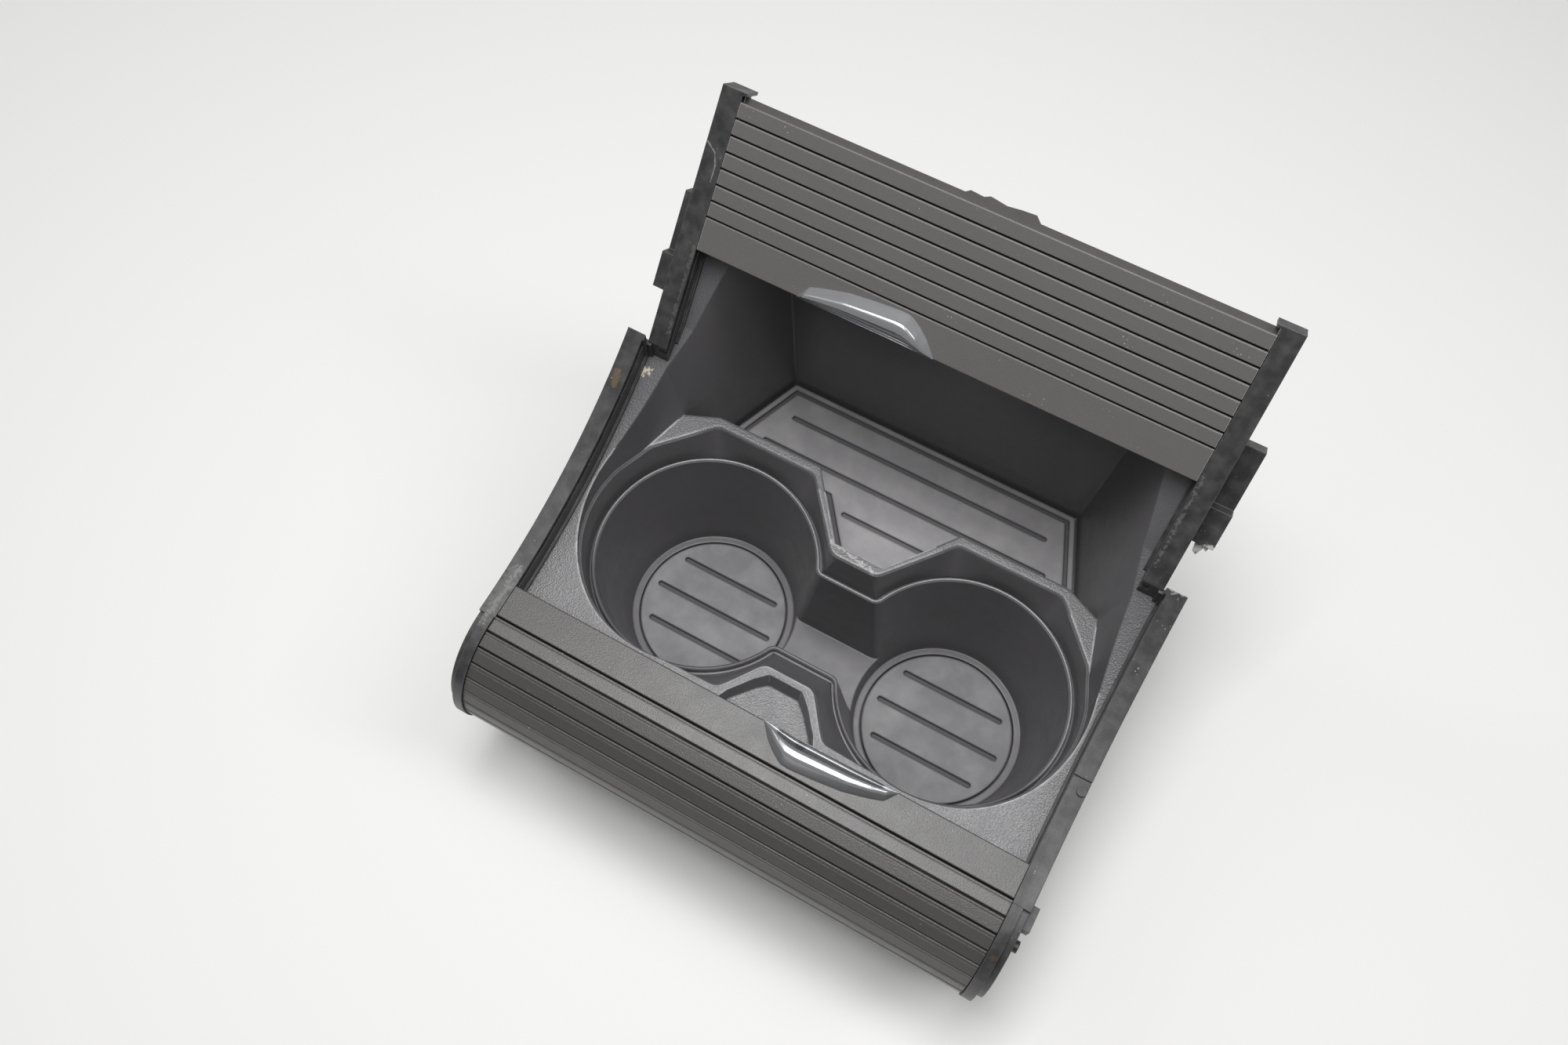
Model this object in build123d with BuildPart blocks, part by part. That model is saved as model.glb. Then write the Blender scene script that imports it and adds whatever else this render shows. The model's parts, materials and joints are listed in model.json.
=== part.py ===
"""Centre-console cup holder with two tambour shutters, in millimetres.

X runs across the unit, Y from the rounded nose to the raised end, Z up.
The origin is on the base plane, midway between the two cup axes.
"""

import os
from math import acos, atan2, cos, radians, sin, sqrt, tan

from build123d import *

os.makedirs("parts", exist_ok=True)

# Cups
cup_offset = 48.4  # cup axis to the middle plane
cup_rim_radius = 39.0
cup_floor_radius = 31.5
cup_depth = 52.0  # rim to mat
cup_wall = 2.2
base_wall = 3.0
rim_lip = 1.3
rim_rise = 0.6
rim_chamfer = 0.6
rim_corner_radius = 4.0  # where a cup opens into the channel
insert_flange = 1.0
insert_flange_drop = 2.5

# Bridge between the cups
channel_half_width = 13.0
channel_rear = 14.3
channel_front = -15.5
channel_draft = 5.2  # degrees
bridge_height = 8.0  # above the mats

# Mats
mat_thickness = 2.0
mat_radius = 28.3
mat_gap = 0.5
mat_groove_width = 1.8
mat_groove_depth = 1.1
mat_groove_pitch = 13.7
mat_groove_reach = 24.7  # half length of the middle groove
bin_mat_gap = 1.2
bin_mat_lip = 2.0
bin_mat_moat = 1.6
bin_mat_thickness = 2.5
bin_mat_moat_depth = 1.0
bin_groove_rows = [(73.5, 53.5), (60.0, 59.0), (46.5, 18.0), (33.0, 8.0)]  # y and half length

# Front track: a concave arc that runs on to a rounded nose
track_y = -58.0
track_radius = 168.0
nose_radius = 27.0
lead_top_above_rim = 22.5
front_half_width = 93.0
rail_width = 6.0
rail_height = 10.0
rail_end_wall = 1.6
rail_end_gap = 0.3  # to the rear rail's outer face
front_rail_rear_y = 42.0
cap_proud = 0.8
cap_width = 3.5
cap_inset = 2.6
cap_length = 10.0  # behind the nose axis
step_length = 4.0  # of the deck under the lower end of the rear rails
foot_lip = 0.8
foot_lip_height = 1.6

# Rear track: straight and steep
rear_angle = 50.0
rear_y = 45.3
rear_above_rim = 55.0
rear_inboard = 7.8  # narrower than the front track on each side
rear_rail_width = 6.8
rear_rail_height = 8.2
rear_rail_start = -4.5
rear_rail_length = 82.4
rear_deck_length = 72.0
rear_foot_lip = 1.0
rear_foot_lip_height = 1.4
hook_reach = 1.7
hook_thickness = 1.0

# Clip blocks outside the rear rails, lengths along the rail and depths below its top
block_width = 7.8
lower_block = (10.5, 23.0)
lower_block_top = 9.2
upper_block = (23.0, 43.5)
upper_block_top = 14.0
block_bottom = 20.0
broken_tab = [(2.0, 11.0), (6.8, 11.0), (6.2, 8.6), (5.1, 9.3), (3.9, 6.4), (2.6, 7.1)]
broken_tab_depth = 10.5
broken_tab_thickness = 2.6

# Marks on the right front rail: a joint, a boss, a clip block and a lug
boss_y = -19.0
boss_radius = 1.6
boss_height = 0.6
seam_y = -15.5
seam_width = 0.6
seam_depth = 0.8
clip_size = (2.4, 8.0, 6.0)
clip_place = (-59.0, 73.0)  # y and z of its middle
lug_place = (-67.0, 68.0)  # y and z of its axis
lug_radius = 2.0
lug_reach = 2.0

# Slats
slat_thickness = 3.0
slat_gap = 0.4
rear_slat_gap = 1.3
slat_taper = 0.5
slat_edge_radius = 0.4
bead_width = 0.9  # rib beside each joint, on the lead slat's side
bead_groove = 0.4
bead_groove_depth = 0.5
end_clearance = 0.25
tongue_top = 1.4
tongue_thickness = 1.6
tongue_reach = 2.6
tongue_clearance = 0.2
film_thickness = 0.4
film_margin = 3.0
film_side_gap = 0.3
front_pitch = 5.8
front_lead_width = 12.0
front_lead_trail = 1.0  # from the nose to the lead slat's rear joint
nose_slat_count = 14
rear_pitch = 5.28
rear_lead_width = 11.6
rear_lead_edge = 31.1  # along the rear track to the lead slat's free edge
rear_slat_count = 7
rear_hem = 1.2
torn_tab = [(-11.6, 0.0), (-10.2, 1.0), (-5.9, 0.7), (-4.0, 1.6), (1.5, 0.9), (6.0, 1.5), (10.5, 1.8), (12.5, 0.0)]

# Handles, a pair of like fins: plan outline from the slat's free edge, a drafted back and a sloping finger face
handle_height = 5.0
handle_draft = 26.0  # degrees
handle_slope = 41.0  # degrees, of the face towards the free edge
handle_edge = 0.3
handle_outline = [
    (1.0, handle_edge), (5.2, 5.3), (11.0, 9.6), (15.0, 10.2), (32.8, 8.3), (45.7, 4.6), (48.4, handle_edge),
]

# Tray
deck_thickness = 2.5
deck_setback = 1.0
deck_join_y = 53.0
front_wall_drop = 12.0  # below the nose axis
nose_side_gap = 0.4
wall = 2.5
corner_wall = 1.5
curve_gap = 0.05
opening_radius = 42.8
divider_above_rim = 13.5
funnel_bottom_below_rim = 2.0
funnel_gap = 0.8
bin_floor_below_rim = 20.0
recess_above_rim = 8.0
recess_depth = 12.0
recess_slope = 14.0  # degrees
mouth_break = 0.8  # chamfer round the funnel's mouth
upper_rise = 100.0  # divider top to the height where the upper walls are given

# Plan outlines of the tray's hollows, right half, from the middle outward and to the rear
bin_floor_outline = [(9.5, 23.5), (27.5, 47.0), (67.0, 47.0), (78.0, 42.0), (60.0, 88.0)]
bin_brow_outline = [(9.5, 22.5), (27.5, 46.0), (68.0, 46.0), (80.4, 40.6), (62.5, 90.0)]
well_brow_outline = [(88.5, 10.8), (80.4, 40.6), (62.5, 90.0)]
well_top_outline = [(100.2, 10.8), (95.6, 40.6), (68.3, 93.3)]
divider_corners = [(8.4, 19.1), (28.0, 43.0), (67.3, 43.0), (84.4, 24.4), (89.8, 10.8)]
peninsula_corners = [(41.0, -42.2), (19.6, -41.4), (9.0, -27.2)]
funnel_corner_radius = 4.5
recess_outline = [(5.5, -31.0), (9.0, -34.0), (15.0, -41.0), (17.5, -46.0)]

# Derived sizes
far_away = 400.0
rim_z = base_wall + mat_thickness + cup_depth
mat_top_z = base_wall + mat_thickness
bridge_z = mat_top_z + bridge_height
lip_top_z = rim_z + rim_rise
nose_z = rim_z + lead_top_above_rim - nose_radius
track_z = rim_z + lead_top_above_rim + track_radius
rear_z = rim_z + rear_above_rim
divider_z = rim_z + divider_above_rim
funnel_z = rim_z - funnel_bottom_below_rim
bin_floor_z = rim_z - bin_floor_below_rim
bin_mat_top_z = bin_floor_z + bin_mat_thickness
recess_z = rim_z + recess_above_rim
upper_z = divider_z + upper_rise
rear_along = (cos(radians(rear_angle)), sin(radians(rear_angle)))
rear_up = (-rear_along[1], rear_along[0])
front_wall_z = nose_z - front_wall_drop
front_outer = front_half_width + rail_width
rear_half_width = front_half_width - rear_inboard
rear_outer = rear_half_width + rear_rail_width
groove_depth = tongue_reach + end_clearance
groove_top = tongue_top - tongue_clearance
groove_bottom = tongue_top + tongue_thickness + tongue_clearance
channel_middle = (channel_rear + channel_front) / 2
channel_length = channel_rear - channel_front
cup_places = [(-cup_offset, 0), (cup_offset, 0)]
upright = (Align.CENTER, Align.CENTER, Align.MIN)


def track_plane(place):
    """Plane across the front track at an arc length: local x along it, local y out of it."""
    if place >= 0:
        angle = place / track_radius
        y = track_y + track_radius * sin(angle)
        z = track_z - track_radius * cos(angle)
    else:
        angle = -place / nose_radius
        y = track_y - nose_radius * sin(angle)
        z = nose_z + nose_radius * cos(angle)
    return Plane(origin=(0, y, z), x_dir=(0, cos(angle), sin(angle)), z_dir=(1, 0, 0))


def track_point(radius, y):
    """Side-view point at a given y on an arc about the front track's centre."""
    return (y, track_z - sqrt(radius**2 - (y - track_y) ** 2))


def rear_plane(place):
    """Plane across the rear track at a length from its lower end."""
    origin = (0, rear_y + place * rear_along[0], rear_z + place * rear_along[1])
    return Plane(origin=origin, x_dir=(0, *rear_along), z_dir=(1, 0, 0))


def rear_point(place, depth):
    """Side-view point along the rear track, at a depth below the slats' top."""
    y = rear_y + place * rear_along[0] - depth * rear_up[0]
    z = rear_z + place * rear_along[1] - depth * rear_up[1]
    return (y, z)


def both_sides(right_half):
    """Closed outline from the points of its right half."""
    return right_half + [(-x, y) for x, y in reversed(right_half)]


def outline(right_half, grow=0.0):
    """Sketch a symmetric outline, grown outward or shrunk inward."""
    Polygon(*both_sides(right_half), align=None)
    if grow:
        offset(amount=grow, kind=Kind.INTERSECTION)


def save(piece, name):
    """Label a finished piece and write it."""
    piece.part.label = name
    export_step(piece.part, f"parts/{name}.step")


# Funnel: the hollow over the cups, faceted with rounded corners at the back, round at the front
funnel_ring = cup_rim_radius + rim_lip + funnel_gap
funnel_path = [(0, divider_corners[0][1]), *divider_corners, *peninsula_corners, (0, peninsula_corners[-1][1])]
front_arc_ends = (divider_corners[-1], peninsula_corners[0])


def ring_angle(point):
    """Angle of a point about the right cup's axis."""
    return atan2(point[1], point[0] - cup_offset)


def ring_place(angle, radius):
    """Point at an angle and a radius about the right cup's axis."""
    return (cup_offset + radius * cos(angle), radius * sin(angle))


def ring_meets(y):
    """Point where the foot of the right cup's funnel crosses a given y, on the channel's side."""
    return (cup_offset - sqrt(funnel_ring**2 - y**2), y)


def ring_arc(start, end, radius):
    """Three points of an arc about the right cup's axis, between the directions of two points."""
    first = ring_angle(start)
    last = ring_angle(end)
    return [ring_place(angle, radius) for angle in (first, (first + last) / 2, last)]


def rounded_corner(before, corner, after, inset):
    """Three points of the arc that rounds a corner of the funnel's mouth, moved into the hollow."""
    back = (Vector(before) - Vector(corner)).normalized()
    ahead = (Vector(after) - Vector(corner)).normalized()
    half_angle = acos(back.dot(ahead)) / 2
    reach = funnel_corner_radius / tan(half_angle)
    middle = (back + ahead).normalized() * (funnel_corner_radius / sin(half_angle) - funnel_corner_radius)
    first_side = Vector(-back.Y, back.X)
    last_side = Vector(ahead.Y, -ahead.X)
    middle_side = (first_side + last_side).normalized()
    sides = ((back * reach, first_side), (middle, middle_side), (ahead * reach, last_side))
    return [(corner[0] + way.X + side.X * inset, corner[1] + way.Y + side.Y * inset) for way, side in sides]


def mouth_pieces(inset=0.0):
    """Lines and arcs of the right half of the funnel's mouth, from the rear to the front."""
    pieces = []
    place = (0, funnel_path[0][1] - inset)
    for before, corner, after in zip(funnel_path, funnel_path[1:], funnel_path[2:]):
        if corner == front_arc_ends[1]:
            continue
        if corner == front_arc_ends[0]:
            arc = ring_arc(*front_arc_ends, opening_radius - inset)
        else:
            arc = rounded_corner(before, corner, after, inset)
        pieces += [(place, arc[0]), arc]
        place = arc[-1]
    return pieces + [(place, (0, funnel_path[-1][1] + inset))]


def foot_pieces():
    """Line or arc under each piece of the mouth, just outside the rim of the cups."""
    rear = ring_meets(channel_rear + rim_lip + funnel_gap)
    front = ring_meets(channel_front - rim_lip - funnel_gap)
    stops = [rear, *[piece[-1] for piece in mouth_pieces()[1:-2]], front]
    arcs = [ring_arc(start, end, funnel_ring) for start, end in zip(stops, stops[1:])]
    return [((0, rear[1]), rear), *arcs, (front, (0, front[1]))]


def funnel_face(pieces, height):
    """Level face from the right half of its outline; two points of a piece make a line, three an arc."""
    edges = []
    for piece in pieces:
        points = [Vector(x, y, height) for x, y in piece]
        edges.append(Edge.make_line(*points) if len(points) == 2 else Edge.make_three_point_arc(*points))
    edges += [edge.mirror(Plane.YZ) for edge in edges]
    return Face(Wire.combine(edges)[0])


with BuildPart() as funnel:
    mouth = funnel_face(mouth_pieces(), divider_z)
    throat = funnel_face(mouth_pieces(mouth_break), divider_z - mouth_break)
    loft([funnel_face(foot_pieces(), funnel_z), throat], ruled=True)
    loft([throat, mouth], ruled=True)
    extrude(mouth, amount=upper_rise, dir=(0, 0, 1))


# Tray: the deck between the rails, the cups' surround, the divider and the bin, one moulding
def deck_points(depth):
    """Side-view points of the deck's surface at a depth below the slats' top."""
    nose = nose_radius - depth
    radius = track_radius + depth
    rear_depth = depth - rail_height + rear_rail_height
    join = track_point(radius, deck_join_y)
    start = rear_point(0, rear_depth)
    rise = (join[0] - start[0]) * rear_along[0] + (join[1] - start[1]) * rear_along[1]
    slant = nose * cos(radians(45))
    return {
        "foot": (track_y - nose, front_wall_z),
        "spring": (track_y - nose, nose_z),
        "brow": (track_y - slant, nose_z + slant),
        "crown": (track_y, nose_z + nose),
        "belly": track_point(radius, (track_y + deck_join_y) / 2),
        "join": rear_point(rise, rear_depth),
        "end": rear_point(rear_deck_length, rear_depth),
    }


def deck_line(point):
    """Draw the deck's path: up the front wall, over the nose, along the arc and up the slope."""
    Line(point["foot"], point["spring"])
    ThreePointArc(point["spring"], point["brow"], point["crown"])
    ThreePointArc(point["crown"], point["belly"], point["join"])
    Line(point["join"], point["end"])


deck_top = deck_points(rail_height)
deck_under = deck_points(rail_height + deck_thickness)

with BuildPart() as tray:
    # Bin body, with a skirt down to the base plane
    with BuildSketch():
        outline(bin_floor_outline, wall)
    extrude(amount=bin_floor_z)
    with BuildSketch(Plane.XY.offset(bin_floor_z)):
        outline(bin_floor_outline, wall)
    with BuildSketch(Plane.XY.offset(divider_z)):
        outline(bin_brow_outline, wall)
    loft(ruled=True)
    # Surround of the cups and of the bin's upper part
    with BuildSketch(Plane.XY.offset(funnel_z)):
        with Locations(*cup_places):
            Circle(opening_radius + wall)
        Rectangle(2 * cup_offset, 2 * (opening_radius + wall))
    extrude(amount=upper_rise)
    with BuildSketch(Plane.XY.offset(funnel_z)):
        outline(divider_corners, corner_wall)
    extrude(amount=upper_rise)
    with BuildSketch(Plane.XY.offset(divider_z - wall)):
        outline(well_brow_outline, wall)
    with BuildSketch(Plane.XY.offset(upper_z)):
        outline(well_top_outline, wall)
    loft(ruled=True)
    # The space above the deck is open
    with BuildSketch(Plane.YZ):
        with BuildLine():
            deck_line(deck_top)
            Polyline(
                deck_top["end"],
                (far_away, deck_top["end"][1]),
                (far_away, far_away),
                (-far_away, far_away),
                (-far_away, front_wall_z),
                deck_top["foot"],
            )
        make_face()
    extrude(amount=far_away, both=True, mode=Mode.SUBTRACT)
    with BuildSketch(Plane.YZ):
        with BuildLine():
            deck_line(deck_top)
            deck_line(deck_under)
            Line(deck_top["foot"], deck_under["foot"])
            Line(deck_top["end"], deck_under["end"])
        make_face()
    extrude(amount=front_outer - deck_setback, both=True)
    # Behind the step the deck is as narrow as the rear rails
    with BuildSketch():
        for inset, rear in ((-rail_end_gap, front_rail_rear_y), (deck_setback, front_rail_rear_y + step_length)):
            with Locations((inset - rear_outer, rear)):
                Rectangle(far_away, far_away, align=(Align.MAX, Align.MIN))
            with Locations((rear_outer - inset, rear)):
                Rectangle(far_away, far_away, align=(Align.MIN, Align.MIN))
        # Beside the nose it stops short of the caps
        with Locations((-front_half_width + nose_side_gap, track_y + cap_length + nose_side_gap)):
            Rectangle(far_away, far_away, align=(Align.MAX, Align.MAX))
        with Locations((front_half_width - nose_side_gap, track_y + cap_length + nose_side_gap)):
            Rectangle(far_away, far_away, align=(Align.MIN, Align.MAX))
    extrude(amount=far_away, mode=Mode.SUBTRACT)
    # Hollows
    add(funnel.part, mode=Mode.SUBTRACT)
    with BuildSketch(Plane.XY.offset(bin_floor_z)):
        outline(bin_floor_outline)
    with BuildSketch(Plane.XY.offset(divider_z)):
        outline(bin_brow_outline)
    loft(ruled=True, mode=Mode.SUBTRACT)
    with BuildSketch(Plane.XY.offset(divider_z)):
        outline(well_brow_outline)
    with BuildSketch(Plane.XY.offset(upper_z)):
        outline(well_top_outline)
    loft(ruled=True, mode=Mode.SUBTRACT)
    with BuildSketch():
        outline(bin_floor_outline)
    extrude(amount=bin_floor_z - wall, mode=Mode.SUBTRACT)
    # Finger recess between the cups, under the front shutter's edge
    with BuildSketch(Plane.XY.offset(recess_z)):
        outline(recess_outline)
    extrude(amount=recess_depth, taper=-recess_slope, mode=Mode.SUBTRACT)
save(tray, "tray")


# Cup insert: two tapered cups joined by a channel, one moulding
def rim_outline(grow):
    """Sketch both cups and the channel at the rim, grown outward."""
    with Locations(*cup_places):
        Circle(cup_rim_radius + grow)
    with Locations((0, channel_middle)):
        Rectangle(2 * channel_half_width, channel_length + 2 * grow)


with BuildPart() as cup_insert:
    with Locations(*cup_places):
        Cone(cup_floor_radius + cup_wall, cup_rim_radius + cup_wall, funnel_z, align=upright)
    with BuildSketch(Plane.XY.offset(bridge_z - cup_wall)):
        with Locations((0, channel_middle)):
            Rectangle(2 * cup_offset, channel_length + 2 * cup_wall)
    extrude(amount=funnel_z - bridge_z + cup_wall)
    with BuildSketch(Plane.XY.offset(funnel_z - insert_flange_drop)):
        rim_outline(cup_wall + insert_flange)
    extrude(amount=insert_flange_drop)
    with BuildSketch(Plane.XY.offset(funnel_z)):
        rim_outline(rim_lip)
    extrude(amount=lip_top_z - funnel_z)
    with Locations(*[(x, y, mat_top_z) for x, y in cup_places]):
        Cone(cup_floor_radius, cup_rim_radius, lip_top_z - mat_top_z, align=upright, mode=Mode.SUBTRACT)
    with BuildSketch(Plane.XY.offset(base_wall)):
        with Locations(*cup_places):
            Circle(mat_radius + mat_gap)
    extrude(amount=cup_depth, mode=Mode.SUBTRACT)
    with BuildSketch(Plane.XY.offset(lip_top_z)):
        with Locations((0, channel_middle)):
            Rectangle(2 * (cup_offset - channel_half_width), channel_length)
    extrude(amount=bridge_z - lip_top_z, taper=channel_draft, mode=Mode.SUBTRACT)
    between_cups = cup_insert.edges().filter_by_position(Axis.X, -cup_offset / 2, cup_offset / 2)
    channel_corners = between_cups.filter_by(lambda edge: edge.bounding_box().size.Z > rim_z - bridge_z)
    fillet(channel_corners, rim_corner_radius)
    lip_corners = cup_insert.edges().filter_by(Axis.Z).filter_by_position(Axis.Z, funnel_z, rim_z)
    fillet(lip_corners.filter_by_position(Axis.X, -cup_offset / 2, cup_offset / 2), rim_corner_radius - rim_lip)
    rim_top = cup_insert.faces().filter_by(Axis.Z).sort_by(Axis.Z)[-1]
    chamfer(rim_top.edges(), rim_chamfer)
save(cup_insert, "cup_insert")


# Mats
for side_name, side in (("left", -1), ("right", 1)):
    with BuildPart() as cup_mat:
        with BuildSketch(Plane.XY.offset(base_wall)):
            with Locations((side * cup_offset, 0)):
                Circle(mat_radius)
        extrude(amount=mat_thickness)
        with BuildSketch(Plane.XY.offset(mat_top_z)):
            for row_y in (-mat_groove_pitch, 0, mat_groove_pitch):
                with Locations((side * cup_offset, row_y)):
                    SlotOverall(2 * sqrt(mat_groove_reach**2 - row_y**2), mat_groove_width)
        extrude(amount=-mat_groove_depth, mode=Mode.SUBTRACT)
    save(cup_mat, f"cup_mat_{side_name}")

with BuildPart() as bin_mat:
    with BuildSketch(Plane.XY.offset(bin_floor_z)):
        outline(bin_floor_outline, -bin_mat_gap)
    extrude(amount=bin_mat_thickness)
    with BuildSketch(Plane.XY.offset(bin_mat_top_z)):
        outline(bin_floor_outline, -bin_mat_gap - bin_mat_lip)
    extrude(amount=-bin_mat_moat_depth, mode=Mode.SUBTRACT)
    with BuildSketch(Plane.XY.offset(bin_mat_top_z - bin_mat_moat_depth)):
        outline(bin_floor_outline, -bin_mat_gap - bin_mat_lip - bin_mat_moat)
    extrude(amount=bin_mat_moat_depth)
    with BuildSketch(Plane.XY.offset(bin_mat_top_z)):
        for row_y, row_reach in bin_groove_rows:
            with Locations((0, row_y)):
                SlotOverall(2 * row_reach, mat_groove_width)
    extrude(amount=-mat_groove_depth, mode=Mode.SUBTRACT)
save(bin_mat, "bin_mat")


# Front rails: an arc band on the deck that runs into a rounded nose cap
def band_lines(top, bottom, rear):
    """Draw the front track's side view between two depths, from the nose to a rear y."""
    stations = (track_y, (track_y + rear) / 2, rear)
    upper = [track_point(track_radius + top, y) for y in stations]
    lower = [track_point(track_radius + bottom, y) for y in stations]
    ThreePointArc(*upper)
    ThreePointArc(*lower)
    Line(upper[0], lower[0])
    Line(upper[-1], lower[-1])


def nose_arc(radius):
    """Draw a half circle round the nose, from its top to its bottom."""
    ThreePointArc((track_y, nose_z + radius), (track_y - radius, nose_z), (track_y, nose_z - radius))


def nose_ring_lines(top, bottom):
    """Draw the nose's half ring between two depths."""
    outer = nose_radius - top
    inner = nose_radius - bottom
    nose_arc(outer)
    nose_arc(inner)
    Line((track_y, nose_z + outer), (track_y, nose_z + inner))
    Line((track_y, nose_z - outer), (track_y, nose_z - inner))


def cap_lines(radius):
    """Draw the D-shaped cap at the nose; it stays under the rail's top behind the nose."""
    top = nose_z + nose_radius - cap_inset
    nose_arc(radius)
    Polyline(
        (track_y, nose_z - radius),
        (track_y + cap_length, nose_z - radius),
        (track_y + cap_length, top),
        (track_y, top),
        (track_y, nose_z + radius),
    )


def front_rail(side):
    """Front side rail with its slat groove and nose cap."""
    inner = Plane.YZ.offset(side * front_half_width)
    with BuildPart() as rail:
        with BuildSketch(inner):
            with BuildLine():
                band_lines(0, rail_height - curve_gap, front_rail_rear_y)
            make_face()
        extrude(amount=side * rail_width)
        with BuildSketch(inner):
            with BuildLine():
                cap_lines(nose_radius + cap_proud)
            make_face()
        extrude(amount=side * cap_width)
        with BuildSketch(inner):
            with BuildLine():
                cap_lines(nose_radius - cap_inset + cap_proud)
            make_face()
        extrude(amount=side * rail_width)
        with BuildSketch(inner):
            with BuildLine():
                band_lines(rail_height - foot_lip_height, rail_height - curve_gap, front_rail_rear_y)
            make_face()
        extrude(amount=-side * foot_lip)
        with BuildSketch(Plane.YZ.offset(side * (rear_outer + rail_end_gap))):
            with BuildLine():
                band_lines(0, rail_height - curve_gap, front_rail_rear_y)
            make_face()
            with Locations((front_rail_rear_y - rail_end_wall, 0)):
                Rectangle(far_away, far_away, align=(Align.MAX, Align.MIN), mode=Mode.SUBTRACT)
        extrude(amount=side * (front_outer - rear_outer - rail_end_gap))
        with BuildSketch(inner):
            with BuildLine():
                band_lines(groove_top, groove_bottom, front_rail_rear_y - rail_end_wall)
            make_face()
            with BuildLine():
                nose_ring_lines(groove_top, groove_bottom)
            make_face()
        extrude(amount=side * groove_depth, mode=Mode.SUBTRACT)
    return rail


save(front_rail(-1), "front_rail_left")

with BuildPart() as front_rail_right:
    add(front_rail(1).part)
    boss_z = track_point(track_radius, boss_y)[1]
    with BuildSketch(Plane.XY.offset(boss_z - groove_top)):
        with Locations((front_outer - boss_radius, boss_y)):
            Circle(boss_radius)
    extrude(amount=groove_top + boss_height)
    seam_z = track_point(track_radius, seam_y)[1]
    with BuildSketch(Plane.XY.offset(seam_z - seam_depth)):
        with Locations((front_half_width, seam_y)):
            Rectangle(rail_width, seam_width, align=(Align.MIN, Align.CENTER))
    extrude(amount=rail_height, mode=Mode.SUBTRACT)
    with Locations((front_outer, *clip_place)):
        Box(*clip_size, align=(Align.MIN, Align.CENTER, Align.CENTER))
    with BuildSketch(Plane.YZ.offset(front_half_width + cap_width)):
        with Locations(lug_place):
            Circle(lug_radius)
    extrude(amount=rail_width - cap_width + lug_reach)
save(front_rail_right, "front_rail_right")


# Rear rails: straight bars with an end stop and an outer clip block in two steps
def rear_bar(start, end, top, bottom):
    """Sketch a bar's side view along the rear track, between two depths."""
    with Locations((start, -top)):
        Rectangle(end - start, bottom - top, align=(Align.MIN, Align.MAX))


def rear_rail(side):
    """Rear side rail; its lower end is plumb and stands on the curve of the deck."""
    middle = rear_plane(0)
    start = rear_rail_start - rear_rail_height * tan(radians(rear_angle))
    with BuildPart() as rail:
        with BuildSketch(middle.offset(side * rear_half_width)):
            rear_bar(start, rear_rail_length, 0, rear_rail_height - curve_gap)
        extrude(amount=side * rear_rail_width)
        with BuildSketch(middle.offset(side * (rear_half_width - hook_reach))):
            rear_bar(rear_rail_length - hook_thickness, rear_rail_length, 0, rear_rail_height - curve_gap)
        extrude(amount=side * (hook_reach + rear_rail_width))
        with BuildSketch(middle.offset(side * (rear_outer - deck_setback))):
            rear_bar(lower_block[0], upper_block[1], 0, block_bottom)
        extrude(amount=side * deck_setback)
        with BuildSketch(middle.offset(side * rear_outer)):
            rear_bar(*lower_block, lower_block_top, block_bottom)
        extrude(amount=side * block_width)
        with BuildSketch(middle.offset(side * rear_outer)):
            rear_bar(*upper_block, upper_block_top, block_bottom)
        extrude(amount=side * block_width)
        with BuildSketch(middle.offset(side * (rear_half_width - rear_foot_lip))):
            rear_bar(
                start,
                rear_deck_length,
                rear_rail_height - rear_foot_lip_height,
                rear_rail_height - curve_gap,
            )
        extrude(amount=side * (rear_foot_lip + rear_rail_width))
        with BuildSketch(middle.offset(side * rear_half_width)):
            rear_bar(start, rear_rail_length - hook_thickness, groove_top, groove_bottom)
        extrude(amount=side * groove_depth, mode=Mode.SUBTRACT)
        with BuildSketch(Plane.YZ):
            with Locations((deck_join_y, 0)):
                Rectangle(far_away, far_away, align=(Align.MAX, Align.MIN))
            with Locations((track_y, track_z)):
                Circle(track_radius + rail_height - curve_gap, mode=Mode.SUBTRACT)
            with Locations((rear_point(rear_rail_start, 0)[0], 0)):
                Rectangle(far_away, far_away, align=(Align.MAX, Align.MIN))
        extrude(amount=far_away, both=True, mode=Mode.SUBTRACT)
    return rail


save(rear_rail(-1), "rear_rail_left")

with BuildPart() as rear_rail_right:
    add(rear_rail(1).part)
    tab_plane = Plane(
        origin=(0, *rear_point(0, broken_tab_depth)),
        x_dir=(1, 0, 0),
        z_dir=(0, *rear_up),
    )
    with BuildSketch(tab_plane):
        Polygon(*[(rear_outer + x, y) for x, y in broken_tab], align=None)
    extrude(amount=-broken_tab_thickness)
save(rear_rail_right, "rear_rail_right")


# Slats
def slat(plane, width, half_width, bead=False):
    """Slat across a track: a body with rounded top edges and a tongue at each end, and a bead by the joint."""
    reach = half_width - end_clearance
    depth = slat_thickness
    with BuildPart() as piece:
        with BuildSketch(plane):
            Polygon(
                (-width / 2, 0),
                (width / 2, 0),
                (width / 2 - slat_taper, -depth),
                (slat_taper - width / 2, -depth),
                align=None,
            )
        extrude(amount=reach, both=True)
        out_of_track = Axis(plane.origin, plane.y_dir)
        fillet(piece.edges().filter_by(Axis.X).sort_by(out_of_track)[-2:], slat_edge_radius)
        if bead:
            with BuildSketch(plane):
                with Locations((width / 2 - bead_width - bead_groove / 2, 0)):
                    Rectangle(bead_groove, 2 * bead_groove_depth)
            extrude(amount=reach, both=True, mode=Mode.SUBTRACT)
        with BuildSketch(plane):
            with Locations((0, -tongue_top)):
                Rectangle(width - 2 * slat_taper, tongue_thickness, align=(Align.CENTER, Align.MAX))
        extrude(amount=half_width + tongue_reach, both=True)
    return piece


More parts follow.
